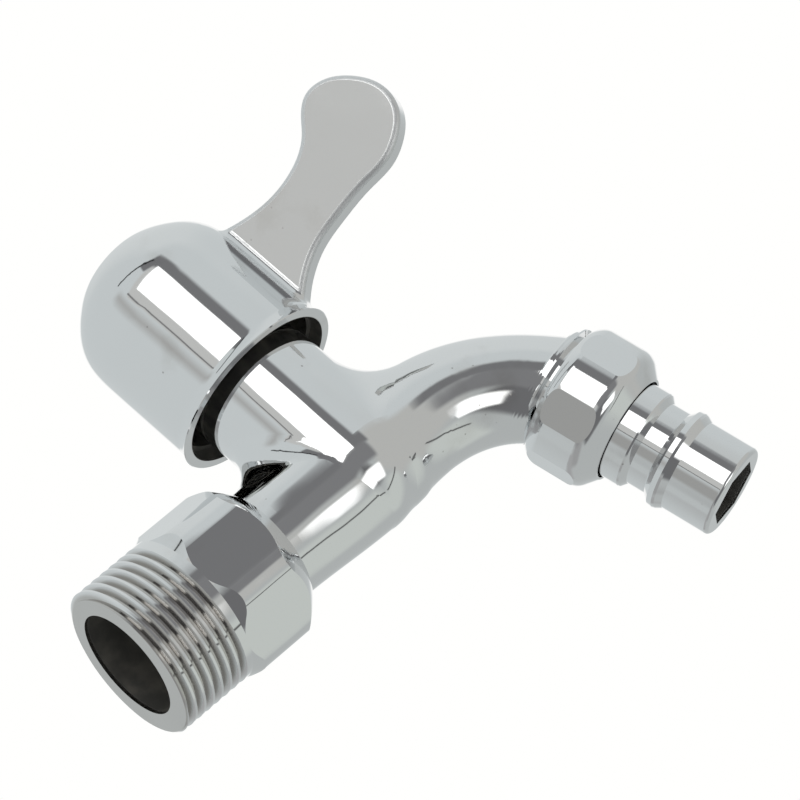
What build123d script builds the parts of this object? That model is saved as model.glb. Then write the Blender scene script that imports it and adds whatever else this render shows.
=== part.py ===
from build123d import *
import math
import os

os.makedirs("parts", exist_ok=True)

# Lengths are in millimetres. The inlet pipe's end face lies at the origin and
# the pipe runs along +X, away from the wall. The valve axis runs along +Z.

# General fits
running_gap = 0.05
slip_gap = 0.2

# Inlet pipe with its G 3/4 thread
thread_pitch = 1.814
inlet_major_radius = 13.1
inlet_thread_length = 12.8
inlet_end_chamfer = 0.4
inlet_bore_radius = 9.3
inlet_bore_depth = 19.0
inlet_crest_x = 1.4
thread_depth = 1.1
thread_crest_width = 0.42
thread_root_width = 0.34

# Hexagon behind the inlet thread
hex_across_flats = 26.0
hex_length = 16.0
hex_corner_radius = 5.5
hex_turn = 5.0
hex_front_length = 4.6
hex_front_drop = 0.4
hex_front_share = 0.33
hex_back_length = 5.2
hex_back_drop = 2.2
hex_back_crown_drop = 0.1
hex_back_share = 0.42

# Neck, valve barrel and the run under it
neck_radius = 9.6
neck_length = 8.84
neck_flare_radius = 10.35
barrel_radius = 11.3
barrel_wall = 2.3
barrel_top = 24.5
barrel_foot_lift = 0.9
neck_crotch_radius = 7.0
spout_crotch_radius = 10.0
inlet_duct_radius = 5.0
inlet_duct_drop = 2.0
seat_height = 5.0
chamber_ledge = 0.2
chamber_height = 9.4
barrel_mouth_chamfer = 0.5
join_depth = 1.0

# Swan neck: a straight run that thins out, a wide bend and a tight bend into the outlet
spout_bend_gap = 1.26
spout_root_radius = 9.3
spout_root_swell = 1.0
spout_waist_radius = 8.7
spout_waist_share = 0.55
spout_end_radius = 9.5
spout_run_shares = (0.0, 0.35, 0.62, 0.85)
wide_bend_radius = 26.0
wide_bend_angle = 50.0
spout_duct_radius = 5.5
port_radius = 3.7
port_start_depth = 0.7
port_start_rise = 3.6
port_end_run = 5.0
port_end_rise = 0.6

# Outlet axis: where the nozzle's mouth lies from the valve axis, and how far it leans
outlet_reach = 40.66
nozzle_mouth_z = -43.1
outlet_lean = 10.4

# Outlet collar and its G 1/2 thread, as heights above the nozzle's mouth
collar_radius = 9.4
collar_foot_height = 32.9
collar_length = 1.6
collar_rounding = 0.3
undercut_radius = 9.0
outlet_major_radius = 10.45
outlet_bore_radius = 7.0
outlet_thread_length = 7.9
groove_overshoot = 0.2
groove_lead_turns = 1.75
groove_end_share = 0.33

# Nozzle
nozzle_tip_radius = 7.75
nozzle_tip_rounding = 0.7
nozzle_tip_length = 8.4
rib_radius = 8.5
rib_length = 3.0
rib_front_drop = 0.15
rib_front_share = 0.35
rib_back_drop = 0.1
rib_back_share = 0.8
rib_run_out = 0.6
groove_radius = 7.2
groove_top = 15.2
base_radius = 8.35
base_taper = 1.0
base_edge = 0.15
flange_radius = 9.4
flange_thickness = 1.5
nozzle_bore_radius = 4.5
socket_across_flats = 10.0
socket_depth = 9.0
socket_turn = 11.5

# Union nut
nut_mouth_height = 19.6
nut_length = 12.1
nut_max_radius = 12.2
nut_across_flats = 23.6
nut_ring_radius = 11.1
nut_ring_height = 1.7
nut_mouth_edge = 0.4
nut_turn = 15.0
nut_back_radius = 11.1
nut_thread_relief = 0.18
nut_shoulder_drop = 2.2
nut_front_bulge = (0.3, 1.0)
nut_back_bulge = (0.35, 0.9)
washer_thickness = 1.7

# Handle bell. Its heights are counted up from its mouth.
bell_mouth_height = 21.46
bell_length = 31.64
bell_radius = 15.4
bell_rim_radius = 15.95
bell_rim_edge = 0.15
bell_rim_lip = 0.4
bell_flare_middle = (0.18, 1.0)
bell_flare_length = 2.1
bell_mouth_bore_radius = 14.34
bell_mouth_bore_depth = 2.6
bell_wall = 1.9
bell_shoulder_share = 0.49
bell_haunch = (0.886, 0.64)
bell_crown = (0.631, 0.885)
bell_ceiling = 4.7
bell_hollow_share = 0.25

# Handle lever: a flat blade in a plane through the valve axis. The points of its
# outline are counted outwards from the bell's wall and up from the bell's mouth.
lever_azimuth = -30.0
lever_thickness = 4.5
lever_edge_radius = 0.9
lever_root_fillet = 1.5
lever_root_depth = 1.4
lever_root_top = 21.7
lever_root_foot = 1.4
lever_top_line = ((4.5, 19.25), (9.4, 18.3), (13.3, 18.45), (16.7, 19.3), (19.55, 20.95), (21.9, 23.25))
paddle_line = ((25.0, 24.95), (28.4, 24.3), (31.9, 20.95), (33.85, 15.6), (32.5, 10.95), (29.4, 8.4))
lever_foot_line = ((25.0, 7.05), (20.0, 7.4), (13.9, 7.45), (8.1, 6.9), (4.4, 5.6))

# Boss, screw and cap under the dome
boss_radius = 7.4
boss_gap = 1.8
boss_ledge = 1.0
insert_radius = 5.8
screw_web = 2.0
cap_radius = 5.6
cap_thickness = 2.4
cap_seat_depth = 0.2
cap_edge_drop = 0.8
cap_edge_inset = 0.25
cap_edge_break = 0.2
cap_ledge = 1.0
cap_gap = 3.1
screw_radius = 1.9
screw_head_radius = 3.4
screw_head_height = 2.0
screw_head_rounding = 0.6
screw_length = 9.0
screw_bore_end = 0.5
screw_slot_width = 1.0
screw_slot_length = 4.4
screw_slot_depth = 1.0
spring_washer_thickness = 0.8
spring_washer_radius = 3.5

# Cartridge
housing_tube_gap = 1.2
housing_tube_wall = 1.3
housing_lift = 0.6
housing_head_overhang = 0.5
housing_head_height = 4.5
housing_neck_radius = 6.6
housing_neck_height = 3.0
window_angle = 70.0
window_height = 2.8
disc_edge_gap = 0.1
fixed_disc_thickness = 2.0
moving_disc_thickness = 2.2
disc_seal_inset = 0.3
disc_seal_height = 2.0
support_ring_wall = 0.8
seat_inset = 0.4
disc_port_inset = 2.0
disc_port_inner = 1.2
disc_port_half_angle = 38.0
fixed_port_angle = 90.0
disc_gap = 0.02
dog_width = 3.0
dog_inset = 1.7
dog_gap = 0.2
dog_depth = 1.1
spindle_flange_thickness = 1.5
friction_ring_thickness = 0.8
stem_radius = 4.6
spline_radius = 4.1
spline_depth = 0.4
spline_count = 20
spline_end_gap = 0.6
o_ring_section = 1.5
o_ring_groove_share = 1.2
housing_o_ring_groove_share = 1.1
o_ring_squeeze = 0.02
o_ring_gap = 3.2
housing_o_ring_section = 1.4
clip_thickness = 1.0
clip_depth = 0.7
clip_width = 1.8
clip_washer_thickness = 0.6
keyway_width = 2.0
keyway_depth = 0.9

# Places and sizes worked out from the values above
hex_front = inlet_thread_length
hex_back = hex_front + hex_length
valve_x = hex_back + neck_length + barrel_radius
nozzle_mouth_x = valve_x + outlet_reach
spout_bend_x = valve_x + barrel_radius + spout_bend_gap
housing_thread_radius = barrel_radius - barrel_wall
chamber_radius = housing_thread_radius - chamber_ledge
housing_tube_radius = chamber_radius - housing_tube_gap
housing_tube_bore = housing_tube_radius - housing_tube_wall
disc_radius = housing_tube_bore - disc_edge_gap
disc_seal_radius = disc_radius - disc_seal_inset
disc_port_radius = disc_radius - disc_port_inset
seat_radius = disc_port_radius - seat_inset
fixed_disc_z = seat_height + disc_seal_height
moving_disc_z = fixed_disc_z + fixed_disc_thickness
dog_z = moving_disc_z + moving_disc_thickness
window_z = dog_z + dog_gap
flange_z = window_z + window_height
friction_z = flange_z + spindle_flange_thickness
housing_shoulder_z = friction_z + friction_ring_thickness
housing_head_top = barrel_top + housing_head_height
housing_top = housing_head_top + housing_neck_height
clip_washer_top = housing_top + clip_washer_thickness
boss_foot_height = clip_washer_top + clip_thickness + boss_gap - slip_gap
bell_top_height = bell_mouth_height + bell_length
cap_foot = bell_top_height - cap_thickness
washer_top = cap_foot - cap_gap - screw_head_height
web_top = washer_top - spring_washer_thickness
insert_top = web_top - screw_web
insert_length = insert_top - boss_foot_height
spline_foot = boss_foot_height - slip_gap
spline_length = insert_length - spline_end_gap

valve_axis = Axis((valve_x, 0, 0), (0, 0, 1))
valve_section = Plane(origin=(valve_x, 0, 0), x_dir=(1, 0, 0), z_dir=(0, -1, 0))
valve_base = Plane(origin=(valve_x, 0, 0), x_dir=(1, 0, 0), z_dir=(0, 0, 1))

lean_sin = math.sin(math.radians(outlet_lean))
lean_cos = math.cos(math.radians(outlet_lean))
nozzle_mouth = (nozzle_mouth_x, 0, nozzle_mouth_z)
outlet_up = (-lean_sin, 0, lean_cos)
outlet_out = (lean_cos, 0, lean_sin)
outlet_axis = Axis(nozzle_mouth, outlet_up)
outlet_section = Plane(origin=nozzle_mouth, x_dir=outlet_out, z_dir=(0, -1, 0))
outlet_base = Plane(origin=nozzle_mouth, x_dir=outlet_out, z_dir=outlet_up)

collar_top_height = collar_foot_height + collar_length
outlet_thread_end = collar_foot_height - outlet_thread_length
washer_foot = outlet_thread_end - washer_thickness
flange_foot = washer_foot - flange_thickness
nut_lip_top = flange_foot - running_gap
nut_back_height = nut_mouth_height + nut_length


def spout_stations(steps):
    """Points and directions down the swan neck, as (point, direction, share)."""
    last_angle = 90.0 - outlet_lean
    end_x = spout_bend_x + wide_bend_radius * math.sin(math.radians(wide_bend_angle))
    end_z = -wide_bend_radius * (1 - math.cos(math.radians(wide_bend_angle)))
    across = (end_x - nozzle_mouth_x) * lean_cos + (end_z - nozzle_mouth_z) * lean_sin
    tight_radius = -across / (1 - math.cos(math.radians(last_angle - wide_bend_angle)))
    stations = []
    for step in range(steps + 1):
        angle = wide_bend_angle * step / steps
        turn = math.radians(angle)
        x = spout_bend_x + wide_bend_radius * math.sin(turn)
        z = -wide_bend_radius * (1 - math.cos(turn))
        stations.append(((x, 0, z), (math.cos(turn), 0, -math.sin(turn)), angle / last_angle))
    for step in range(1, steps // 2 + 1):
        angle = wide_bend_angle + (last_angle - wide_bend_angle) * step / (steps // 2)
        start = math.radians(wide_bend_angle)
        turn = math.radians(angle)
        x = end_x + tight_radius * (math.sin(turn) - math.sin(start))
        z = end_z - tight_radius * (math.cos(start) - math.cos(turn))
        stations.append(((x, 0, z), (math.cos(turn), 0, -math.sin(turn)), angle / last_angle))
    return stations


def tube_radius(share):
    """Outer radius of the swan neck: it narrows to a waist and swells to the collar."""
    if share < spout_waist_share:
        ease = (1 - math.cos(math.pi * share / spout_waist_share)) / 2
        return spout_root_radius + (spout_waist_radius - spout_root_radius) * ease
    ease = (1 - math.cos(math.pi * (share - spout_waist_share) / (1 - spout_waist_share))) / 2
    return spout_waist_radius + (spout_end_radius - spout_waist_radius) * ease


def run_radius(share):
    """Outer radius of the straight run: it shrinks from the valve axis to the bend."""
    return spout_root_radius + spout_root_swell * (1 + math.cos(math.pi * share)) / 2


def groove_outline():
    """Outline of a thread groove: x runs outwards from the crest, y along the thread."""
    flank = (thread_pitch - thread_crest_width - thread_root_width) / 2 / thread_depth
    low = thread_root_width / 2
    high = low + flank * (groove_overshoot + thread_depth)
    return [
        (-thread_depth, -low), (-thread_depth, low),
        (groove_overshoot, high), (groove_overshoot, -high),
    ]


def spline_outline(grow):
    """Star outline of the splined stem, grown for the bore that takes it."""
    points = []
    for tooth in range(spline_count):
        for half, radius in ((0.0, spline_radius), (0.5, spline_radius - spline_depth)):
            angle = math.radians(360 * (tooth + half) / spline_count)
            reach = radius + grow
            points.append((reach * math.cos(angle), reach * math.sin(angle)))
    return points


# Hexagon of the body, turned round at its front and back corners
with BuildPart() as hexagon:
    with BuildSketch(Plane.YZ.offset(hex_front)) as hex_outline:
        RegularPolygon(hex_across_flats / 2, 6, major_radius=False, rotation=30 + hex_turn)
        fillet(hex_outline.vertices(), radius=hex_corner_radius)
    extrude(amount=hex_length)
    hex_flat = hex_across_flats / 2
    hex_corner = hex_across_flats / math.sqrt(3)
    with BuildSketch(Plane.XY):
        with BuildLine():
            Line((hex_front, 0), (hex_front, hex_flat - hex_front_drop))
            ThreePointArc(
                (hex_front, hex_flat - hex_front_drop),
                (hex_front + hex_front_length * hex_front_share, hex_flat + hex_front_drop),
                (hex_front + hex_front_length, hex_corner),
            )
            Line((hex_front + hex_front_length, hex_corner), (hex_back - hex_back_length, hex_corner))
            ThreePointArc(
                (hex_back - hex_back_length, hex_corner),
                (hex_back - hex_back_length * hex_back_share, hex_flat - hex_back_crown_drop),
                (hex_back, hex_flat - hex_back_drop),
            )
            Line((hex_back, hex_flat - hex_back_drop), (hex_back, 0))
            Line((hex_back, 0), (hex_front, 0))
        make_face()
    revolve(axis=Axis.X, mode=Mode.INTERSECT)


def is_crotch(edge):
    """True for the edges where the barrel meets the neck and the swan neck."""
    centre = edge.center()
    near = abs(centre.X - valve_x) < barrel_radius
    return edge.geom_type == GeomType.BSPLINE and near and centre.Z < spout_root_radius + 1


# Body: one brass casting. Its outside is the inlet pipe, the hexagon, the neck,
# the barrel with a ball foot, the swan neck and the outlet's collar and pipe.
stations = spout_stations(8)
with BuildPart() as body:
    neck_end = (hex_back, neck_radius)
    neck_flare = (valve_x, neck_flare_radius)
    with BuildSketch(Plane.XY):
        with BuildLine():
            Polyline(
                (valve_x, 0),
                (hex_back - join_depth, 0),
                (hex_back - join_depth, neck_radius),
                neck_end,
            )
            Spline(neck_end, neck_flare, tangents=((1, 0), (1, 0)))
            Line(neck_flare, (valve_x, 0))
        make_face()
    revolve(axis=Axis.X)
    for run_share in spout_run_shares:
        run_x = valve_x + (spout_bend_x - valve_x) * run_share
        with BuildSketch(Plane.YZ.offset(run_x)):
            Circle(run_radius(run_share))
    for point, direction, share in stations:
        with BuildSketch(Plane(origin=point, x_dir=(0, 1, 0), z_dir=direction)):
            Circle(tube_radius(share))
    loft()
    with BuildSketch(valve_section):
        with BuildLine():
            Line((0, barrel_foot_lift - barrel_radius), (0, barrel_top))
            Line((0, barrel_top), (barrel_radius, barrel_top))
            Line((barrel_radius, barrel_top), (barrel_radius, barrel_foot_lift))
            RadiusArc(
                (barrel_radius, barrel_foot_lift),
                (0, barrel_foot_lift - barrel_radius),
                barrel_radius,
            )
        make_face()
    revolve(axis=valve_axis)
    neck_crotch = [e for e in body.edges().filter_by(is_crotch) if e.center().X < valve_x]
    fillet(neck_crotch, radius=neck_crotch_radius)
    spout_crotch = [e for e in body.edges().filter_by(is_crotch) if e.center().X > valve_x]
    fillet(spout_crotch, radius=spout_crotch_radius)

    # Hexagon and inlet pipe
    add(hexagon.part)
    with BuildSketch(Plane.XY):
        with BuildLine():
            Polyline(
                (0, 0),
                (0, inlet_major_radius - inlet_end_chamfer),
                (inlet_end_chamfer, inlet_major_radius),
                (hex_front + join_depth, inlet_major_radius),
                (hex_front + join_depth, 0),
                close=True,
            )
        make_face()
    revolve(axis=Axis.X)

    # Collar and outlet pipe
    with BuildSketch(outlet_section):
        with BuildLine():
            Polyline(
                (0, collar_foot_height),
                (collar_radius - collar_rounding, collar_foot_height),
                (collar_radius, collar_foot_height + collar_rounding),
                (collar_radius, collar_top_height - collar_rounding),
                (collar_radius - collar_rounding, collar_top_height),
                (0, collar_top_height),
                close=True,
            )
        make_face()
    revolve(axis=outlet_axis)
    with BuildSketch(outlet_base.offset(outlet_thread_end)):
        Circle(outlet_major_radius)
    extrude(amount=outlet_thread_length + collar_rounding)
    with BuildSketch(outlet_base.offset(nut_back_height)):
        Circle(outlet_major_radius)
        Circle(undercut_radius, mode=Mode.SUBTRACT)
    extrude(amount=collar_foot_height - nut_back_height, mode=Mode.SUBTRACT)

    # Inlet bore with a coned end, and the duct under the seat
    with BuildSketch(Plane.XY):
        with BuildLine():
            Polyline(
                (0, 0),
                (0, inlet_bore_radius),
                (inlet_bore_depth, inlet_bore_radius),
                (inlet_bore_depth + inlet_bore_radius - inlet_duct_radius, inlet_duct_radius),
                (inlet_bore_depth + inlet_bore_radius - inlet_duct_radius, 0),
                close=True,
            )
        make_face()
    revolve(axis=Axis.X, mode=Mode.SUBTRACT)
    with BuildSketch(Plane.YZ.offset(inlet_bore_depth)):
        with Locations((0, -inlet_duct_drop)):
            Circle(inlet_duct_radius)
    extrude(amount=valve_x + seat_radius - inlet_bore_depth, mode=Mode.SUBTRACT)

    # Seat, chamber and threaded mouth of the barrel
    with BuildSketch(valve_section):
        with BuildLine():
            Polyline(
                (0, -inlet_duct_drop),
                (seat_radius, -inlet_duct_drop),
                (seat_radius, seat_height),
                (chamber_radius, seat_height),
                (chamber_radius, seat_height + chamber_height),
                (housing_thread_radius, seat_height + chamber_height),
                (housing_thread_radius, barrel_top - barrel_mouth_chamfer),
                (housing_thread_radius + barrel_mouth_chamfer, barrel_top),
                (0, barrel_top),
                close=True,
            )
        make_face()
    revolve(axis=valve_axis, mode=Mode.SUBTRACT)

    # Port from the chamber into the swan neck's duct, and the duct
    port_start = (valve_x + chamber_radius - port_start_depth, 0, seat_height + port_start_rise)
    port_run = (spout_bend_x + port_end_run - port_start[0], 0, port_end_rise - port_start[2])
    port_length = math.hypot(port_run[0], port_run[2])
    port_base = Plane(origin=port_start, x_dir=(0, 1, 0), z_dir=port_run)
    with BuildSketch(port_base.offset(-port_radius / 2)):
        Circle(port_radius)
    extrude(amount=port_length + port_radius / 2, mode=Mode.SUBTRACT)
    for point, direction, share in stations:
        with BuildSketch(Plane(origin=point, x_dir=(0, 1, 0), z_dir=direction)):
            Circle(spout_duct_radius)
    loft(mode=Mode.SUBTRACT)
    with BuildSketch(outlet_base.offset(outlet_thread_end)):
        Circle(outlet_bore_radius)
    extrude(amount=outlet_thread_length, mode=Mode.SUBTRACT)

    # Thread grooves: the inlet's starts ahead of the end face, the outlet's below it
    groove_start = inlet_crest_x - groove_lead_turns * thread_pitch
    with BuildLine() as inlet_helix:
        Helix(
            thread_pitch,
            hex_front - thread_pitch * groove_end_share - groove_start,
            inlet_major_radius,
            center=(groove_start, 0, 0),
            direction=(1, 0, 0),
        )
    helix = inlet_helix.line
    with BuildSketch(Plane(origin=helix @ 0, x_dir=(0, 0, 1), z_dir=helix % 0)):
        Polygon(*groove_outline(), align=None)
    sweep(path=helix, is_frenet=True, mode=Mode.SUBTRACT)
    with BuildLine() as outlet_helix:
        Helix(
            thread_pitch,
            outlet_thread_length + thread_pitch / 2,
            outlet_major_radius,
            center=outlet_base.offset(outlet_thread_end - thread_pitch).origin,
            direction=outlet_up,
        )
    helix = outlet_helix.line
    with BuildSketch(Plane(origin=helix @ 0, x_dir=outlet_out, z_dir=helix % 0)):
        Polygon(*groove_outline(), align=None)
    sweep(path=helix, is_frenet=True, mode=Mode.SUBTRACT)
body.part.label = "body"
export_step(body.part, "parts/body.step")


# Nozzle: turned brass. From its mouth up it has a plain end, a narrow rib, a
# groove, the base that fills the nut's mouth and the flange that the nut holds.
rib_foot = nozzle_tip_length
rib_top = rib_foot + rib_length
base_foot = groove_top + base_taper
with BuildPart() as nozzle:
    with BuildSketch(outlet_section):
        with BuildLine():
            Line((0, 0), (nozzle_tip_radius - nozzle_tip_rounding, 0))
            RadiusArc(
                (nozzle_tip_radius - nozzle_tip_rounding, 0),
                (nozzle_tip_radius, nozzle_tip_rounding),
                -nozzle_tip_rounding,
            )
            Polyline(
                (nozzle_tip_radius, nozzle_tip_rounding),
                (nozzle_tip_radius, rib_foot),
                (rib_radius - rib_front_drop, rib_foot + rib_length * rib_front_share),
                (rib_radius, rib_foot + rib_length / 2),
                (rib_radius - rib_back_drop, rib_foot + rib_length * rib_back_share),
                (groove_radius, rib_top + rib_run_out),
                (groove_radius, groove_top),
                (base_radius - base_edge, base_foot - base_edge),
                (base_radius, base_foot + base_edge),
                (base_radius, flange_foot),
                (flange_radius, flange_foot),
                (flange_radius, washer_foot),
                (0, washer_foot),
                (0, 0),
            )
        make_face()
    revolve(axis=outlet_axis)
    with BuildSketch(outlet_base):
        Circle(nozzle_bore_radius)
    extrude(amount=washer_foot, mode=Mode.SUBTRACT)
    with BuildSketch(outlet_base):
        RegularPolygon(
            socket_across_flats / 2, 6, major_radius=False, rotation=socket_turn
        )
    extrude(amount=socket_depth, mode=Mode.SUBTRACT)
nozzle.part.label = "nozzle"
export_step(nozzle.part, "parts/nozzle.step")

# Washer between the nozzle's flange and the end of the outlet pipe
with BuildPart() as outlet_washer:
    with BuildSketch(outlet_base.offset(washer_foot)):
        Circle(flange_radius)
        Circle(outlet_bore_radius, mode=Mode.SUBTRACT)
    extrude(amount=washer_thickness)
outlet_washer.part.label = "outlet_washer"
export_step(outlet_washer.part, "parts/outlet_washer.step")

# Union nut: a turned barrel shape with six shallow flats, a mouth that passes
# the nozzle, a lip that holds the nozzle's flange, and a plain bore that clears
# the crests of the outlet's thread
nut_bore_radius = outlet_major_radius + nut_thread_relief
nut_mouth_bore = rib_radius + slip_gap
nut_ring_top = nut_mouth_height + nut_ring_height
with BuildPart() as outlet_nut:
    with BuildSketch(outlet_section):
        with BuildLine():
            Polyline(
                (0, nut_mouth_height),
                (nut_mouth_bore + nut_mouth_edge, nut_mouth_height),
                (nut_ring_radius, nut_ring_top),
            )
            ThreePointArc(
                (nut_ring_radius, nut_ring_top),
                (nut_max_radius - nut_front_bulge[0], nut_ring_top + nut_front_bulge[1]),
                (nut_max_radius, nut_ring_top + nut_shoulder_drop),
            )
            Line(
                (nut_max_radius, nut_ring_top + nut_shoulder_drop),
                (nut_max_radius, nut_back_height - nut_shoulder_drop),
            )
            ThreePointArc(
                (nut_max_radius, nut_back_height - nut_shoulder_drop),
                (nut_max_radius - nut_back_bulge[0], nut_back_height - nut_back_bulge[1]),
                (nut_back_radius, nut_back_height),
            )
            Polyline(
                (nut_back_radius, nut_back_height),
                (0, nut_back_height),
                (0, nut_mouth_height),
            )
        make_face()
    revolve(axis=outlet_axis)
    with BuildSketch(outlet_base.offset(nut_mouth_height)):
        RegularPolygon(nut_across_flats / 2, 6, major_radius=False, rotation=nut_turn)
    extrude(amount=nut_length, mode=Mode.INTERSECT)
    with BuildSketch(outlet_base.offset(nut_mouth_height)):
        Circle(nut_mouth_bore)
    extrude(amount=nut_length, mode=Mode.SUBTRACT)
    with BuildSketch(outlet_base.offset(nut_lip_top)):
        Circle(nut_bore_radius)
    extrude(amount=nut_length, mode=Mode.SUBTRACT)
outlet_nut.part.label = "outlet_nut"
export_step(outlet_nut.part, "parts/outlet_nut.step")

# Handle: one casting, a bell with a boss under its dome and a flat blade lever
lever_turn = math.radians(lever_azimuth)
lever_section = Plane(
    origin=(valve_x, 0, 0),
    x_dir=(math.cos(lever_turn), math.sin(lever_turn), 0),
    z_dir=(math.sin(lever_turn), -math.cos(lever_turn), 0),
)
shoulder_height = bell_mouth_height + bell_length * bell_shoulder_share
dome_rise = bell_top_height - shoulder_height
shoulder = (bell_radius, shoulder_height)
haunch = (bell_radius * bell_haunch[0], shoulder_height + dome_rise * bell_haunch[1])
crown = (bell_radius * bell_crown[0], shoulder_height + dome_rise * bell_crown[1])
dome_top = (0, bell_top_height)
rim_lip = (bell_rim_radius - bell_rim_edge, bell_mouth_height + bell_rim_lip)
flare_middle = (bell_radius + bell_flare_middle[0], bell_mouth_height + bell_flare_middle[1])
flare_top = (bell_radius, bell_mouth_height + bell_flare_length)
lever_line = [
    (bell_radius + reach, bell_mouth_height + rise)
    for reach, rise in lever_top_line + paddle_line + lever_foot_line
]
root_top = (bell_radius - lever_root_depth, bell_mouth_height + lever_root_top)
root_foot = (bell_radius - lever_root_depth, bell_mouth_height + lever_root_foot)


def is_blade_edge(edge):
    """True for the long edges of the lever's two flat faces."""
    place = lever_section.to_local_coords(edge.center())
    on_face = abs(abs(place.Z) - lever_thickness / 2) < running_gap
    return on_face and place.X > bell_radius + lever_root_fillet


def is_root_edge(edge):
    """True for the edges where the lever runs into the bell."""
    place = lever_section.to_local_coords(edge.center())
    in_blade = lever_thickness / 8 < abs(place.Z) < lever_thickness / 2 + running_gap
    near_wall = abs(place.X - bell_radius + lever_root_fillet / 2) < lever_root_fillet * 1.5
    return in_blade and near_wall


with BuildPart() as handle:
    with BuildSketch(valve_section):
        with BuildLine():
            Polyline(
                (0, bell_mouth_height),
                (bell_rim_radius - bell_rim_edge, bell_mouth_height),
                (bell_rim_radius, bell_mouth_height + bell_rim_edge),
                rim_lip,
            )
            Spline(rim_lip, flare_middle, flare_top, tangents=[(-0.6, 0.8), (0, 1)])
            Line(flare_top, shoulder)
            Spline(shoulder, haunch, crown, dome_top, tangents=[(0, 1), (-1, 0)])
            Line(dome_top, (0, bell_mouth_height))
        make_face()
    revolve(axis=valve_axis)
    with BuildSketch(lever_section):
        with BuildLine():
            Spline(root_top, *lever_line, root_foot)
            Line(root_foot, root_top)
        make_face()
    extrude(amount=lever_thickness / 2, both=True)
    fillet(handle.edges().filter_by(is_blade_edge), radius=lever_edge_radius)
    fillet(handle.edges().filter_by(is_root_edge), radius=lever_root_fillet)

    # Hollow of the bell round the boss, and the boss's stepped bore
    bell_bore = bell_radius - bell_wall
    ceiling = bell_top_height - bell_ceiling
    hollow_bend = shoulder_height + dome_rise * bell_hollow_share
    mouth_bore_top = bell_mouth_height + bell_mouth_bore_depth
    with BuildSketch(valve_section):
        with BuildLine():
            Polyline(
                (0, bell_mouth_height),
                (bell_mouth_bore_radius, bell_mouth_height),
                (bell_mouth_bore_radius, mouth_bore_top),
                (bell_bore, mouth_bore_top),
                (bell_bore, hollow_bend),
            )
            Spline(
                (bell_bore, hollow_bend),
                (boss_radius + boss_ledge, ceiling),
                tangents=[(0, 1), (-1, 0)],
            )
            Polyline(
                (boss_radius + boss_ledge, ceiling),
                (boss_radius, ceiling),
                (boss_radius, boss_foot_height),
                (0, boss_foot_height),
                (0, bell_mouth_height),
            )
        make_face()
    revolve(axis=valve_axis, mode=Mode.SUBTRACT)
    with BuildSketch(valve_section):
        with BuildLine():
            Polyline(
                (0, boss_foot_height),
                (insert_radius, boss_foot_height),
                (insert_radius, insert_top),
                (screw_radius + slip_gap, insert_top),
                (screw_radius + slip_gap, web_top),
                (cap_radius - cap_ledge, web_top),
                (cap_radius - cap_ledge, cap_foot),
                (cap_radius, cap_foot),
                (cap_radius, bell_top_height + join_depth),
                (0, bell_top_height + join_depth),
                close=True,
            )
        make_face()
    revolve(axis=valve_axis, mode=Mode.SUBTRACT)
handle.part.label = "handle"
export_step(handle.part, "parts/handle.step")

# Index cap: a plain plug with a domed top, pressed into the dome over the screw
cap_edge_top = bell_top_height - cap_edge_drop
cap_rise = cap_edge_drop - cap_seat_depth
cap_edge_radius = cap_radius - cap_edge_inset
cap_dome_radius = (cap_edge_radius**2 + cap_rise**2) / (2 * cap_rise)
with BuildPart() as index_cap:
    with BuildSketch(valve_section):
        with BuildLine():
            Polyline(
                (0, cap_foot),
                (cap_radius - running_gap, cap_foot),
                (cap_radius - running_gap, cap_edge_top - cap_edge_break),
                (cap_edge_radius, cap_edge_top),
            )
            RadiusArc(
                (cap_edge_radius, cap_edge_top),
                (0, bell_top_height - cap_seat_depth),
                -cap_dome_radius,
            )
            Line((0, bell_top_height - cap_seat_depth), (0, cap_foot))
        make_face()
    revolve(axis=valve_axis)
index_cap.part.label = "index_cap"
export_step(index_cap.part, "parts/index_cap.step")

# Splined insert in the boss
with BuildPart() as spline_insert:
    with BuildSketch(valve_base.offset(boss_foot_height)):
        Circle(insert_radius)
        Polygon(*spline_outline(running_gap), align=None, mode=Mode.SUBTRACT)
    extrude(amount=insert_length)
spline_insert.part.label = "spline_insert"
export_step(spline_insert.part, "parts/spline_insert.step")

# Split spring washer under the screw's head
with BuildPart() as spring_washer:
    with BuildSketch(valve_base.offset(web_top)):
        Circle(spring_washer_radius)
        Circle(screw_radius + slip_gap, mode=Mode.SUBTRACT)
        with Locations((spring_washer_radius, 0)):
            Rectangle(spring_washer_radius * 2, slip_gap * 2, mode=Mode.SUBTRACT)
    extrude(amount=spring_washer_thickness)
spring_washer.part.label = "spring_washer"
export_step(spring_washer.part, "parts/spring_washer.step")

# Handle screw with a cross recess
with BuildPart() as handle_screw:
    with BuildSketch(valve_base.offset(washer_top - screw_length)):
        Circle(screw_radius)
    extrude(amount=screw_length)
    with BuildSketch(valve_base.offset(washer_top)):
        Circle(screw_head_radius)
    extrude(amount=screw_head_height)
    fillet(handle_screw.edges().group_by(Axis.Z)[-1], radius=screw_head_rounding)
    with BuildSketch(valve_base.offset(washer_top + screw_head_height)):
        Rectangle(screw_slot_length, screw_slot_width)
        Rectangle(screw_slot_width, screw_slot_length)
    extrude(amount=-screw_slot_depth, mode=Mode.SUBTRACT)
handle_screw.part.label = "handle_screw"
export_step(handle_screw.part, "parts/handle_screw.step")

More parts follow.
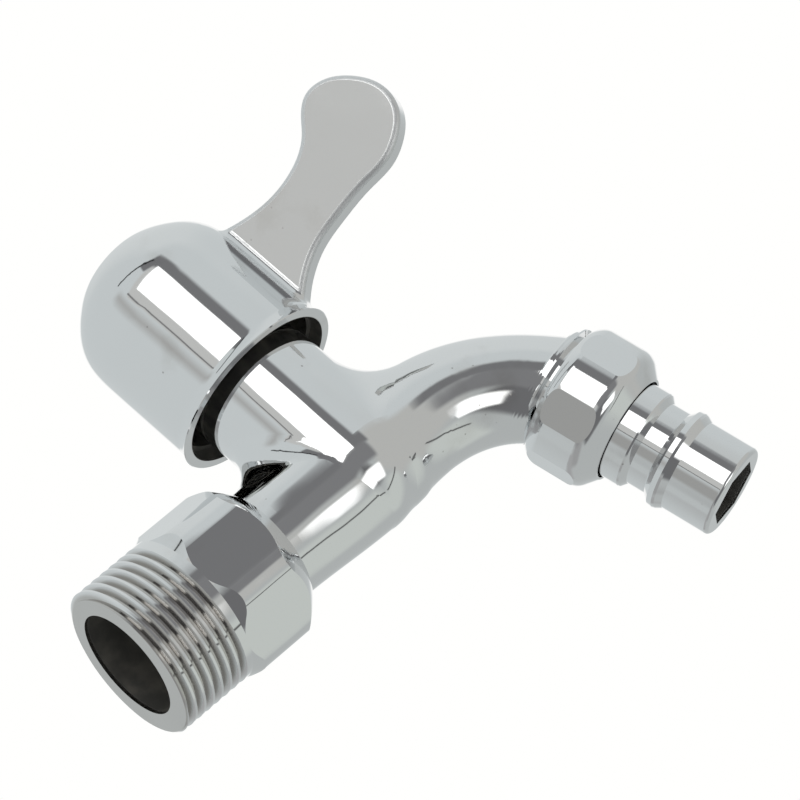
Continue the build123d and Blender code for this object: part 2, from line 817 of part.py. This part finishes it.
# Spindle: the dog that turns the moving disc, a flange, the stem with two
# grooves for its seals and one for the clip, and the splined end
groove_foot = stem_radius + running_gap - o_ring_section
ring_heights = [housing_shoulder_z + o_ring_gap, housing_shoulder_z + 2 * o_ring_gap]
spindle_flange_radius = housing_tube_bore - slip_gap / 2
with BuildPart() as spindle:
    with BuildSketch(valve_base.offset(flange_z)):
        Circle(spindle_flange_radius)
    extrude(amount=spindle_flange_thickness)
    with BuildSketch(valve_base.offset(friction_z)):
        Circle(stem_radius)
    extrude(amount=spline_foot - friction_z)
    with BuildSketch(valve_base.offset(spline_foot)):
        Polygon(*spline_outline(0), align=None)
    extrude(amount=spline_length)
    with BuildSketch(valve_base.offset(dog_z - dog_depth)):
        Rectangle(dog_width, 2 * (disc_radius - dog_inset), rotation=lever_azimuth)
    extrude(amount=flange_z - dog_z + dog_depth)
    for height in ring_heights:
        with BuildSketch(valve_base.offset(height - o_ring_section * o_ring_groove_share / 2)):
            Circle(stem_radius)
            Circle(groove_foot, mode=Mode.SUBTRACT)
        extrude(amount=o_ring_section * o_ring_groove_share, mode=Mode.SUBTRACT)
    with BuildSketch(valve_base.offset(clip_washer_top)):
        Circle(stem_radius)
        Circle(stem_radius - clip_depth, mode=Mode.SUBTRACT)
    extrude(amount=clip_thickness, mode=Mode.SUBTRACT)
    with BuildSketch(valve_base.offset(washer_top - screw_length - screw_bore_end)):
        Circle(screw_radius + running_gap)
    extrude(amount=screw_length + screw_bore_end, mode=Mode.SUBTRACT)
spindle.part.label = "spindle"
export_step(spindle.part, "parts/spindle.step")

# Two seals in the spindle's grooves
ring_line = stem_radius + running_gap - o_ring_section / 2
with BuildPart() as spindle_o_rings:
    with Locations(*[(valve_x, 0, height) for height in ring_heights]):
        Torus(ring_line, o_ring_section / 2 - o_ring_squeeze)
spindle_o_rings.part.label = "spindle_o_rings"
export_step(spindle_o_rings.part, "parts/spindle_o_rings.step")

# Slip ring between the spindle's flange and the housing's shoulder
with BuildPart() as friction_ring:
    with BuildSketch(valve_base.offset(friction_z)):
        Circle(spindle_flange_radius)
        Circle(stem_radius + slip_gap / 2, mode=Mode.SUBTRACT)
    extrude(amount=friction_ring_thickness - running_gap)
friction_ring.part.label = "friction_ring"
export_step(friction_ring.part, "parts/friction_ring.step")

# Washer on top of the housing's neck, and the open clip in the spindle's groove
with BuildPart() as clip_washer:
    with BuildSketch(valve_base.offset(housing_top + running_gap)):
        Circle(housing_neck_radius)
        Circle(stem_radius + slip_gap / 2, mode=Mode.SUBTRACT)
    extrude(amount=clip_washer_thickness - running_gap)
clip_washer.part.label = "clip_washer"
export_step(clip_washer.part, "parts/clip_washer.step")

with BuildPart() as spindle_clip:
    with BuildSketch(valve_base.offset(clip_washer_top)):
        Circle(stem_radius - clip_depth + clip_width)
        Circle(stem_radius - clip_depth, mode=Mode.SUBTRACT)
        with Locations((-stem_radius, 0)):
            Rectangle(stem_radius, stem_radius, mode=Mode.SUBTRACT)
    extrude(amount=clip_thickness)
spindle_clip.part.label = "spindle_clip"
export_step(spindle_clip.part, "parts/spindle_clip.step")

# Cartridge housing: a tube for the discs with two windows and two keyways, a
# length screwed into the barrel, a hexagonal head and a neck round the stem
tube_foot = seat_height + housing_lift
housing_bore = stem_radius + running_gap
thread_foot = seat_height + chamber_height + slip_gap
with BuildPart() as cartridge_housing:
    with BuildSketch(valve_base.offset(tube_foot)):
        Circle(housing_tube_radius)
    extrude(amount=thread_foot - tube_foot)
    with BuildSketch(valve_base.offset(thread_foot)):
        Circle(housing_thread_radius - running_gap)
    extrude(amount=barrel_top - thread_foot)
    with BuildSketch(valve_base.offset(barrel_top)):
        RegularPolygon(housing_thread_radius + housing_head_overhang, 6, major_radius=False)
    extrude(amount=housing_head_height)
    with BuildSketch(valve_base.offset(housing_head_top)):
        Circle(housing_neck_radius)
    extrude(amount=housing_neck_height)
    with BuildSketch(valve_base.offset(tube_foot)):
        Circle(housing_tube_bore)
    extrude(amount=housing_shoulder_z - tube_foot, mode=Mode.SUBTRACT)
    with BuildSketch(valve_base.offset(housing_shoulder_z)):
        Circle(housing_bore)
    extrude(amount=housing_top - housing_shoulder_z, mode=Mode.SUBTRACT)
    window_width = 2 * housing_tube_bore * math.sin(math.radians(window_angle / 2))
    with BuildSketch(valve_base.offset(window_z)):
        Rectangle(2 * housing_thread_radius, window_width)
    extrude(amount=window_height, mode=Mode.SUBTRACT)
    with BuildSketch(valve_base.offset(tube_foot)):
        Rectangle(keyway_width, 2 * (housing_tube_bore + keyway_depth))
    extrude(amount=moving_disc_z - tube_foot, mode=Mode.SUBTRACT)
    o_ring_groove = housing_o_ring_section * housing_o_ring_groove_share
    o_ring_foot = barrel_top - barrel_mouth_chamfer - o_ring_groove
    with BuildSketch(valve_base.offset(o_ring_foot)):
        Circle(housing_thread_radius)
        Circle(housing_thread_radius - housing_o_ring_section, mode=Mode.SUBTRACT)
    extrude(amount=o_ring_groove, mode=Mode.SUBTRACT)
cartridge_housing.part.label = "cartridge_housing"
export_step(cartridge_housing.part, "parts/cartridge_housing.step")

# Seal between the housing and the barrel
with BuildPart() as housing_o_ring:
    with Locations((valve_x, 0, o_ring_foot + o_ring_groove / 2)):
        Torus(
            housing_thread_radius - housing_o_ring_section / 2,
            housing_o_ring_section / 2 - o_ring_squeeze,
        )
housing_o_ring.part.label = "housing_o_ring"
export_step(housing_o_ring.part, "parts/housing_o_ring.step")


def disc_port(middle):
    """Outline of one quarter-ring port of a ceramic disc, centred on an angle."""
    half = disc_port_half_angle
    with BuildLine() as outline:
        outer = CenterArc((0, 0), disc_port_radius, middle - half, 2 * half)
        inner = CenterArc((0, 0), disc_port_inner, middle - half, 2 * half)
        Line(outer @ 0, inner @ 0)
        Line(outer @ 1, inner @ 1)
    return outline


# Fixed disc, keyed in the housing, with its ports across the run of the tap
with BuildPart() as fixed_disc:
    with BuildSketch(valve_base.offset(fixed_disc_z)):
        Circle(disc_radius)
        Rectangle(
            keyway_width - slip_gap, 2 * (housing_tube_bore + keyway_depth - slip_gap)
        )
        for middle in (fixed_port_angle, fixed_port_angle + 180):
            add(make_face(disc_port(middle).edges(), mode=Mode.PRIVATE), mode=Mode.SUBTRACT)
    extrude(amount=fixed_disc_thickness)
fixed_disc.part.label = "fixed_disc"
export_step(fixed_disc.part, "parts/fixed_disc.step")

# Moving disc, turned with the lever, with a slot across its top for the dog
with BuildPart() as moving_disc:
    with BuildSketch(valve_base.offset(moving_disc_z + disc_gap)):
        Circle(disc_radius)
        for middle in (lever_azimuth, lever_azimuth + 180):
            add(make_face(disc_port(middle).edges(), mode=Mode.PRIVATE), mode=Mode.SUBTRACT)
    extrude(amount=moving_disc_thickness - disc_gap)
    with BuildSketch(valve_base.offset(dog_z)):
        Rectangle(dog_width + slip_gap, 2 * disc_radius, rotation=lever_azimuth)
    extrude(amount=-dog_depth - running_gap, mode=Mode.SUBTRACT)
moving_disc.part.label = "moving_disc"
export_step(moving_disc.part, "parts/moving_disc.step")

# Rubber seal under the fixed disc and the ring that keeps it from closing in
support_radius = seat_radius + support_ring_wall
with BuildPart() as disc_seal:
    with BuildSketch(valve_base.offset(seat_height)):
        Circle(disc_seal_radius)
        Circle(support_radius, mode=Mode.SUBTRACT)
    extrude(amount=disc_seal_height)
disc_seal.part.label = "disc_seal"
export_step(disc_seal.part, "parts/disc_seal.step")

with BuildPart() as seal_support_ring:
    with BuildSketch(valve_base.offset(seat_height)):
        Circle(support_radius)
        Circle(seat_radius, mode=Mode.SUBTRACT)
    extrude(amount=disc_seal_height)
seal_support_ring.part.label = "seal_support_ring"
export_step(seal_support_ring.part, "parts/seal_support_ring.step")
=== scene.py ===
import math

import bpy
from mathutils import Matrix, Vector

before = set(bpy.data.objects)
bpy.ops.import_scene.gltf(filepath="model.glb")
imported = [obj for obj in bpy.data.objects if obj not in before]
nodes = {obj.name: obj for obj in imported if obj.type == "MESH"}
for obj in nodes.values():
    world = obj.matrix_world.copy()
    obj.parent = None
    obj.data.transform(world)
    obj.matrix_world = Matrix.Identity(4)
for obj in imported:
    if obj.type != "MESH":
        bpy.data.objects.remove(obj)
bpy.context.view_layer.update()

# The camera stands below the tap and to one side, two thirds of a metre away, and looks up through
# a long lens. It is rolled until the inlet pipe points down to the left, as in the photograph.
eye = Vector((-0.219509, -0.562238, -0.215496))
aim = Vector((0.063873, 0.0, 0.004670))
camera_roll = math.radians(-49.263)
camera = bpy.data.objects.new("camera", bpy.data.cameras.new("camera"))
camera.data.lens = 190.807
camera.data.sensor_width = 36.0
camera.data.clip_start = 0.01
camera.matrix_world = (
    Matrix.Translation(eye)
    @ (aim - eye).to_track_quat("-Z", "Y").to_matrix().to_4x4()
    @ Matrix.Rotation(camera_roll, 4, "Z")
)
bpy.context.scene.collection.objects.link(camera)
bpy.context.scene.camera = camera
bpy.context.scene.view_settings.view_transform = "Standard"

# The studio is a light grey tent in front of a plain white backdrop. A large soft box in a thin
# black frame hangs above the camera, and a smaller one lies low in front. The other cards are the
# boards and stands round them, the dark room beside them and the camera's own place.
tent_low = (0.50, 0.52, 0.515)
tent_high = (0.645, 0.68, 0.685)
tent_fade = (-0.35, 0.45)  # from the low colour to the high one, as sines of the height
backdrop_white = (1.0, 1.0, 0.99)


class Wire:
    """A shader socket. Sums on wires add Math nodes, and node() adds any other node."""

    def __init__(self, tree, socket=None):
        self.tree = tree
        self.socket = socket

    def node(self, kind, settings=None, sockets=None, out=0):
        """A new node. Its settings are set first, and then the values or links of its sockets."""
        made = self.tree.nodes.new(kind)
        for name, value in (settings or {}).items():
            setattr(made, name, value)
        for name, value in (sockets or {}).items():
            port = made.inputs[name]
            if isinstance(value, Wire):
                self.tree.links.new(value.socket, port)
            else:
                port.default_value = value
        return Wire(self.tree, made.outputs[out] if made.outputs else None)

    def maths(self, operation, first, second=0.0):
        return self.node("ShaderNodeMath", {"operation": operation}, {0: first, 1: second})

    def __add__(self, other):
        return self.maths("ADD", self, other)

    __radd__ = __add__

    def __sub__(self, other):
        return self.maths("SUBTRACT", self, other)

    def __rsub__(self, other):
        return self.maths("SUBTRACT", other, self)

    def __mul__(self, other):
        return self.maths("MULTIPLY", self, other)

    __rmul__ = __mul__

    def __truediv__(self, other):
        return self.maths("DIVIDE", self, other)

    def __abs__(self):
        return self.maths("ABSOLUTE", self)

    def ease(self, low, high):
        """0 below low and 1 above high, with a smooth step between. low may be above high."""
        return self.node(
            "ShaderNodeMapRange",
            {"interpolation_type": "SMOOTHSTEP"},
            {"Value": self, "From Min": low, "From Max": high},
        )

    def vector(self, operation, other=(0.0, 0.0, 0.0), out=0):
        return self.node("ShaderNodeVectorMath", {"operation": operation}, {0: self, 1: other}, out)

    def dot(self, direction):
        return self.vector("DOT_PRODUCT", tuple(direction), "Value")

    def mix(self, first, second):
        """The first colour where this wire is 0, and the second where it is 1."""
        pair = [c if isinstance(c, Wire) else (*c, 1.0) for c in (first, second)]
        return self.node(
            "ShaderNodeMix", {"data_type": "RGBA"}, {"Factor": self, 6: pair[0], 7: pair[1]}, 2
        )


def empty_tree(owner):
    """A wire into the node tree of this world or material, cleared of its first nodes."""
    owner.use_nodes = True
    owner.node_tree.nodes.clear()
    return Wire(owner.node_tree)


world = bpy.data.worlds.new("studio")
studio = empty_tree(world)
ray = studio.node("ShaderNodeTexCoord", out="Generated")


def card(azimuth, height, half_width, half_height, soft, turn=0.0):
    """1 where a ray meets a flat card that faces the tap, in degrees; its edges fade over soft."""
    a, e, t = map(math.radians, (azimuth, height, turn))
    facing = Vector((math.cos(e) * math.cos(a), math.cos(e) * math.sin(a), math.sin(e)))
    across = Vector((-math.sin(a), math.cos(a), 0.0))
    upward = facing.cross(across)
    side = across * math.cos(t) + upward * math.sin(t)
    top = upward * math.cos(t) - across * math.sin(t)
    ahead = ray.dot(facing)
    wide, tall, blur = (math.tan(math.radians(v)) for v in (half_width, half_height, soft))
    inside = abs(ray.dot(side) / ahead).ease(wide + blur, wide - blur)
    inside = inside * abs(ray.dot(top) / ahead).ease(tall + blur, tall - blur)
    return inside * ahead.ease(0.0, 0.02)


# Each card's place, size, softness and turn, as card() takes them, and then its colour. A later
# card stands in front of an earlier one.
light = ray.dot((0, 0, 1)).ease(*tent_fade).mix(tent_low, tent_high)
for outline, colour in (
    # the bright top of the tent over the spout, and a board under it
    ((10, 55, 40, 25, 15.0), (0.71, 0.74, 0.74)),
    ((20, -68, 28, 14, 8.0), (0.62, 0.65, 0.62)),
    # the dim room beyond the inlet, and two boards at the camera's left
    ((160, -25, 25, 16, 8.0), (0.38, 0.38, 0.38)),
    ((130, -9, 30, 9, 6.0), (0.42, 0.42, 0.42)),
    ((-163, -14, 20, 12, 7.0), (0.32, 0.32, 0.32)),
    ((-146, 22, 5, 22, 7.0), (0.45, 0.45, 0.44)),
    ((-150, 2, 12, 10, 5.0), (0.38, 0.38, 0.37)),
    # a board and the foot of a stand at the camera's right
    ((-33, -18, 32, 34, 9.0), (0.54, 0.54, 0.52)),
    ((-28, -62, 1.2, 15, 0.8), (0.12, 0.12, 0.12)),
    # the middle of the backdrop, and the camera's own place
    ((61, 20, 21, 15, 5.0), (1.0, 1.0, 0.99)),
    ((-125, -48, 34, 26, 8.0), (0.17, 0.17, 0.175)),
    # round the large box: a board, a stand, the dark room on three sides and the frame's top bar
    ((-105, 12, 27, 24, 2.0), (0.60, 0.60, 0.585)),
    ((-131, 12, 0.8, 22, 0.6), (0.18, 0.18, 0.18)),
    ((-77, 14, 8, 24, 3.0), (0.20, 0.20, 0.205)),
    ((-66, 8, 7, 8, 3.0), (0.20, 0.20, 0.205)),
    ((-88, -12, 24, 15, 5.0), (0.23, 0.23, 0.235)),
    ((-84, 38, 10, 5, 1.5, -24.6), (0.19, 0.19, 0.195)),
    ((-102, 50, 22, 1.2, 0.8, -24.6), (0.02, 0.02, 0.02)),
    # the large box and the smaller one
    ((-101, 17, 17, 14, 0.8), (1.7, 1.7, 1.68)),
    ((-83, -49, 14, 12, 3.0), (1.7, 1.7, 1.68)),
):
    light = card(*outline).mix(light, colour)
tent = studio.node("ShaderNodeBackground", None, {"Color": light, "Strength": 1.0})
backdrop = studio.node(
    "ShaderNodeBackground", None, {"Color": (*backdrop_white, 1.0), "Strength": 1.0}
)
seen = studio.node("ShaderNodeLightPath", out="Is Camera Ray")
studio.node(
    "ShaderNodeOutputWorld", None,
    {"Surface": studio.node("ShaderNodeMixShader", None, {0: seen, 1: tent, 2: backdrop})},
)
bpy.context.scene.world = world

# The floor is a sheet of pale board, well below the camera, and takes the tap's shadow. A real one
# is small, and polished metal over it mirrors the boxes and boards that stand low beyond its edges,
# so this one is clear to mirror rays.
floor_height = -0.30
floor_half = 3.0
board_low = (0.86, 0.86, 0.85)
board_high = (0.90, 0.90, 0.89)
floor_mesh = bpy.data.meshes.new("floor")
floor_mesh.from_pydata(
    [
        (x * floor_half, y * floor_half, floor_height)
        for x, y in ((-1, -1), (1, -1), (1, 1), (-1, 1))
    ],
    [], [(0, 1, 2, 3)],
)
floor = bpy.data.objects.new("floor", floor_mesh)
bpy.context.scene.collection.objects.link(floor)
floor_paint = bpy.data.materials.new("pale_board")
board = empty_tree(floor_paint)
speckle = board.node("ShaderNodeTexNoise", None, {"Scale": 40.0, "Detail": 4.0})
board_finish = board.node(
    "ShaderNodeBsdfPrincipled", None,
    {"Base Color": speckle.mix(board_low, board_high), "Roughness": 0.7},
)
clear = board.node("ShaderNodeBsdfTransparent")
mirrored = board.node("ShaderNodeLightPath", out="Is Glossy Ray")
board.node(
    "ShaderNodeOutputMaterial", None,
    {"Surface": board.node("ShaderNodeMixShader", None, {0: mirrored, 1: board_finish, 2: clear})},
)
floor_mesh.materials.append(floor_paint)

# The body is one brass casting: threaded inlet with its hexagon, neck, valve barrel and swan-necked
# spout. It is polished by hand and plated with bright chrome outside, and its waterway is left as
# cast and rough, painted near black as shade. The inlet's thread roots are darkened as painted
# shade, and its end face is painted warm and dull.
chrome_colour = (0.80, 0.81, 0.815)
film_colour = (0.70, 0.70, 0.69)
pit_colour = (0.42, 0.41, 0.40)
# The near-black colours of the bare insides are painted shade, with a random grime tone in them.
bore_painted_shade = (0.15, 0.145, 0.135)
bore_grime_in_shade = (0.24, 0.225, 0.20)
# A warm dull grey: painted shade in the thread's grooves, and the end face's painted tone.
dull_and_shade_colour = (0.50, 0.485, 0.465)
bright_rough = 0.03
worn_rough = 0.45
cast_rough = 0.34
wave_scale = 75.0
haze_scale = 90.0
grime_scale = 300.0
pit_scale = 380.0
line_scale = 2600.0
line_stretch = (0.25, 1.0, 1.0)

# The relief of the plate is in mm, and every other length is in metres.
line_height = 0.0006
pit_depth = 0.0018
haze_height = 0.0010
tool_line_height = 0.003
millimetre = 0.001

pipe_line = (1, 0, 0)
inlet_bore_edge = 0.0095
inlet_bore_depth = 0.022
inlet_crest = 0.01322
thread_end = 0.0128
nozzle_mouth = Vector((0.0896, 0.0, -0.0431))
outlet_tilt = math.radians(10.4)
outlet_up = Vector((-math.sin(outlet_tilt), 0.0, math.cos(outlet_tilt)))
collar_foot = 0.0329
collar_top = 0.0345
collar_back = 0.066
tool_line_pitch = 0.0005


def dress(node_name, material):
    """The CAD node's only material becomes this one."""
    mesh = nodes[node_name].data
    mesh.materials.clear()
    mesh.materials.append(material)


def bright_plate(name, sway, dark=None, rings=None, worn=None, dull_and_shade=None, seed=0.0):
    """Bright chrome over polished metal, with fine polishing lines, small casting pits under the
    plate and a thin dull film in places. sway is the height of the slow waves that polishing by
    hand leaves, in mm, which bend the edges of the reflections. dark(place) marks a bare inside,
    left rough and painted near black as shade, rings(place) adds tool lines in mm, worn(place)
    marks edges that are buffed dull, and dull_and_shade(place) marks places painted warm and dull,
    darker as painted shade in the thread's grooves. seed moves the pattern."""
    material = bpy.data.materials.new(name)
    plate = empty_tree(material)
    place = plate.node("ShaderNodeTexCoord", out="Object")
    moved = place.vector("ADD", (seed, seed, seed))

    def noise(where, scale, detail):
        return plate.node(
            "ShaderNodeTexNoise", None, {"Vector": where, "Scale": scale, "Detail": detail}
        )

    haze = noise(moved, haze_scale, 5.0)
    lines = noise(moved.vector("MULTIPLY", line_stretch), line_scale, 2.0)
    cells = plate.node(
        "ShaderNodeTexVoronoi", None, {"Vector": moved, "Scale": pit_scale}, "Distance"
    )
    pits = cells.ease(0.10, 0.02) * haze.ease(0.52, 0.66)
    film = haze.ease(0.60, 0.80)
    colour = pits.mix(film.mix(chrome_colour, film_colour), pit_colour)
    rough = bright_rough + 0.05 * film + 0.03 * lines + 0.2 * pits
    metal = 1.0
    if worn:
        rough = rough + worn_rough * worn(place)
    # The thread's grooves are darkened here as painted shade, and the end face is painted warm and
    # dull.
    if dull_and_shade:
        dulled_and_shaded = dull_and_shade(place)
        colour = dulled_and_shaded.mix(colour, dull_and_shade_colour)
        rough = rough + 0.05 * dulled_and_shaded
    # A bare inside is left rough and as cast, and its near-black colour is painted shade.
    if dark:
        inside = dark(place)
        grime = noise(moved, grime_scale, 6.0)
        colour = inside.mix(colour, grime.ease(0.35, 0.75).mix(bore_painted_shade, bore_grime_in_shade))
        rough = rough + inside * (cast_rough + 0.2 * grime - rough)
        metal = 1.0 - 0.35 * inside
    waves = noise(moved, wave_scale, 1.0)
    height = sway * waves + line_height * lines - pit_depth * pits + haze_height * haze
    if rings:
        height = height + rings(place)
    bump = plate.node(
        "ShaderNodeBump", None, {"Strength": 1.0, "Distance": millimetre, "Height": height}
    )
    finish = plate.node(
        "ShaderNodeBsdfPrincipled", None,
        {"Base Color": colour, "Metallic": metal, "Roughness": rough, "Normal": bump},
    )
    plate.node("ShaderNodeOutputMaterial", None, {"Surface": finish})
    return material


def spread(place, axis, centre=(0.0, 0.0, 0.0)):
    """The distance of a point from a line along axis through centre, in metres."""
    apart = place.vector("SUBTRACT", centre)
    return apart.vector("CROSS_PRODUCT", tuple(axis)).vector("LENGTH", out="Value")


def above_mouth(place):
    """The height of a point above the nozzle's mouth, along the outlet, in metres."""
    return place.dot(outlet_up) - outlet_up.dot(nozzle_mouth)


def collar_rings(place):
    """The tool lines round the collar at the spout's end."""
    height = above_mouth(place)
    band = height.ease(collar_foot - 0.0002, collar_foot)
    band = band * height.ease(collar_top + 0.0001, collar_top)
    band = band * place.dot(pipe_line).ease(collar_back, collar_back + 0.002)
    lines = place.maths("SINE", height * (2.0 * math.pi / tool_line_pitch))
    return tool_line_height * band * lines


def thread_shade_and_dull_face(place):
    """The inlet's end face, painted warm and dull, and its thread below the crests, darkened as
    painted shade in the grooves.
    """
    along = place.dot(pipe_line)
    roots = spread(place, pipe_line).ease(inlet_crest - 0.0002, inlet_crest - 0.0010)
    dulled_and_shaded = 0.9 * roots * along.ease(thread_end, thread_end - 0.0004)
    return dulled_and_shaded * along.ease(0.0001, 0.0003) + 0.8 * along.ease(0.0003, 0.0001)


def inlet_bore(place):
    """The inside of the inlet pipe."""
    along = place.dot(pipe_line)
    bore = spread(place, pipe_line).ease(inlet_bore_edge, inlet_bore_edge - 0.0002)
    bore = bore * along.ease(0.0004, 0.0008)
    return bore * along.ease(inlet_bore_depth + 0.001, inlet_bore_depth)


dress("body", bright_plate(
    "body_chrome_plate", sway=0.20, dark=inlet_bore, rings=collar_rings, dull_and_shade=thread_shade_and_dull_face,
))

# The handle is one zinc casting, a bell with a flat blade, polished and plated outside. The inside
# of the bell is left as cast and rough, and its almost black colour is painted shade. A screw in
# the dome holds it on the spindle.
valve_line = (0.04894, 0.0, 0.0)
upright = (0, 0, 1)
bell_mouth_bore = 0.01445
bell_shoulder = 0.0383
bell_outside = 0.0160
hollow_radius = 0.0125
hollow_top = 0.0475
blade_facing = math.radians(-120.0)


def inside_bell(place):
    """The hollow of the bell: its wide skirt and the narrower dome over it."""
    reach = spread(place, upright, valve_line)
    height = place.dot(upright)
    skirt = reach.ease(bell_mouth_bore, bell_mouth_bore - 0.0001)
    skirt = skirt * height.ease(bell_shoulder, bell_shoulder - 0.0005)
    dome = reach.ease(hollow_radius, hollow_radius - 0.0002)
    dome = dome * height.ease(hollow_top, hollow_top - 0.0005)
    return skirt + dome * (1.0 - skirt)


def blade_edges(place):
    """The rounded edges between the blade's two flats and its rim, beyond the bell."""
    across = Vector((math.cos(blade_facing), math.sin(blade_facing), 0.0))
    turned = abs(place.node("ShaderNodeTexCoord", out="Normal").dot(across))
    beyond = spread(place, upright, valve_line).ease(bell_outside, bell_outside + 0.0004)
    return beyond * turned.ease(0.999, 0.985) * turned.ease(0.02, 0.12)


dress("handle", bright_plate(
    "handle_chrome_plate", sway=0.08, dark=inside_bell, worn=blade_edges, seed=3.0,
))

# The index cap is a small plain plug with a domed top, plated like the handle. It is pressed into
# the bell's dome and covers the screw.
dress("index_cap", bright_plate("cap_chrome_plate", sway=0.03, seed=5.0))

# The union nut is turned from brass bar, with six shallow flats, and plated. Its lip holds the
# nozzle's flange, and it is screwed up on the thread of the outlet.
dress("outlet_nut", bright_plate("nut_chrome_plate", sway=0.05, seed=7.0))

# The nozzle is turned from brass bar and plated, and its bore is left bare and painted dark as
# shade. A hose goes on over its plain end and its rib, and the nut clamps its flange on the washer
# at the outlet.
nozzle_bore_edge = 0.0064


def nozzle_bore(place):
    """The inside of the nozzle, above its mouth."""
    bore = spread(place, outlet_up, nozzle_mouth)
    bore = bore.ease(nozzle_bore_edge, nozzle_bore_edge - 0.0002)
    return bore * above_mouth(place).ease(0.0002, 0.0005)


dress("nozzle", bright_plate("nozzle_chrome_plate", sway=0.03, dark=nozzle_bore, seed=9.0))


# The cartridge's housing, spindle, clip and clip washer are made from brass bar and left bare. The
# housing is screwed into the barrel, and the clip holds the spindle in it.
def plain_finish(name, pieces, low, high, metal, rough, scale, depth):
    """Dress these pieces in one even finish. Its grain has this scale, runs from the low colour to
    the high one, and is depth high, in metres."""
    material = bpy.data.materials.new(name)
    stuff = empty_tree(material)
    place = stuff.node("ShaderNodeTexCoord", out="Object")
    grain = stuff.node("ShaderNodeTexNoise", None, {"Vector": place, "Scale": scale, "Detail": 5.0})
    bump = stuff.node(
        "ShaderNodeBump", None, {"Strength": 0.25, "Distance": depth, "Height": grain}
    )
    finish = stuff.node(
        "ShaderNodeBsdfPrincipled", None,
        {
            "Base Color": grain.ease(0.3, 0.7).mix(low, high), "Metallic": metal,
            "Roughness": rough + 0.12 * grain, "Normal": bump,
        },
    )
    stuff.node("ShaderNodeOutputMaterial", None, {"Surface": finish})
    for piece in pieces:
        dress(piece, material)


plain_finish(
    "turned_brass", ("cartridge_housing", "spindle", "spindle_clip", "clip_washer"),
    low=(0.66, 0.49, 0.23), high=(0.76, 0.58, 0.30), metal=1.0, rough=0.24,
    scale=700.0, depth=0.00003,
)

# The handle's screw and the split washer under its head are steel with a thin plate of zinc. The
# screw goes down through the handle's boss into the spindle.
plain_finish(
    "plated_steel", ("handle_screw", "spring_washer"),
    low=(0.52, 0.52, 0.54), high=(0.66, 0.66, 0.68), metal=1.0, rough=0.28,
    scale=900.0, depth=0.00002,
)

# The seals are moulded in black rubber: the rings round the housing and the spindle, the flat
# washer between nozzle and outlet, and the ring under the fixed disc.
plain_finish(
    "black_rubber", ("housing_o_ring", "spindle_o_rings", "outlet_washer", "disc_seal"),
    low=(0.025, 0.025, 0.026), high=(0.045, 0.045, 0.045), metal=0.0, rough=0.55,
    scale=500.0, depth=0.00004,
)

# The spindle's slip ring, the splined insert in the handle's boss and the ring inside the disc's
# seal are moulded in white plastic.
plain_finish(
    "white_plastic", ("friction_ring", "spline_insert", "seal_support_ring"),
    low=(0.80, 0.80, 0.77), high=(0.88, 0.88, 0.86), metal=0.0, rough=0.35,
    scale=400.0, depth=0.00002,
)

# The two discs that let the water through or shut it off are ceramic, ground flat. One is keyed in
# the housing, and the spindle turns the other on it.
plain_finish(
    "ground_ceramic", ("moving_disc", "fixed_disc"),
    low=(0.88, 0.88, 0.85), high=(0.93, 0.93, 0.91), metal=0.0, rough=0.10,
    scale=1200.0, depth=0.00001,
)
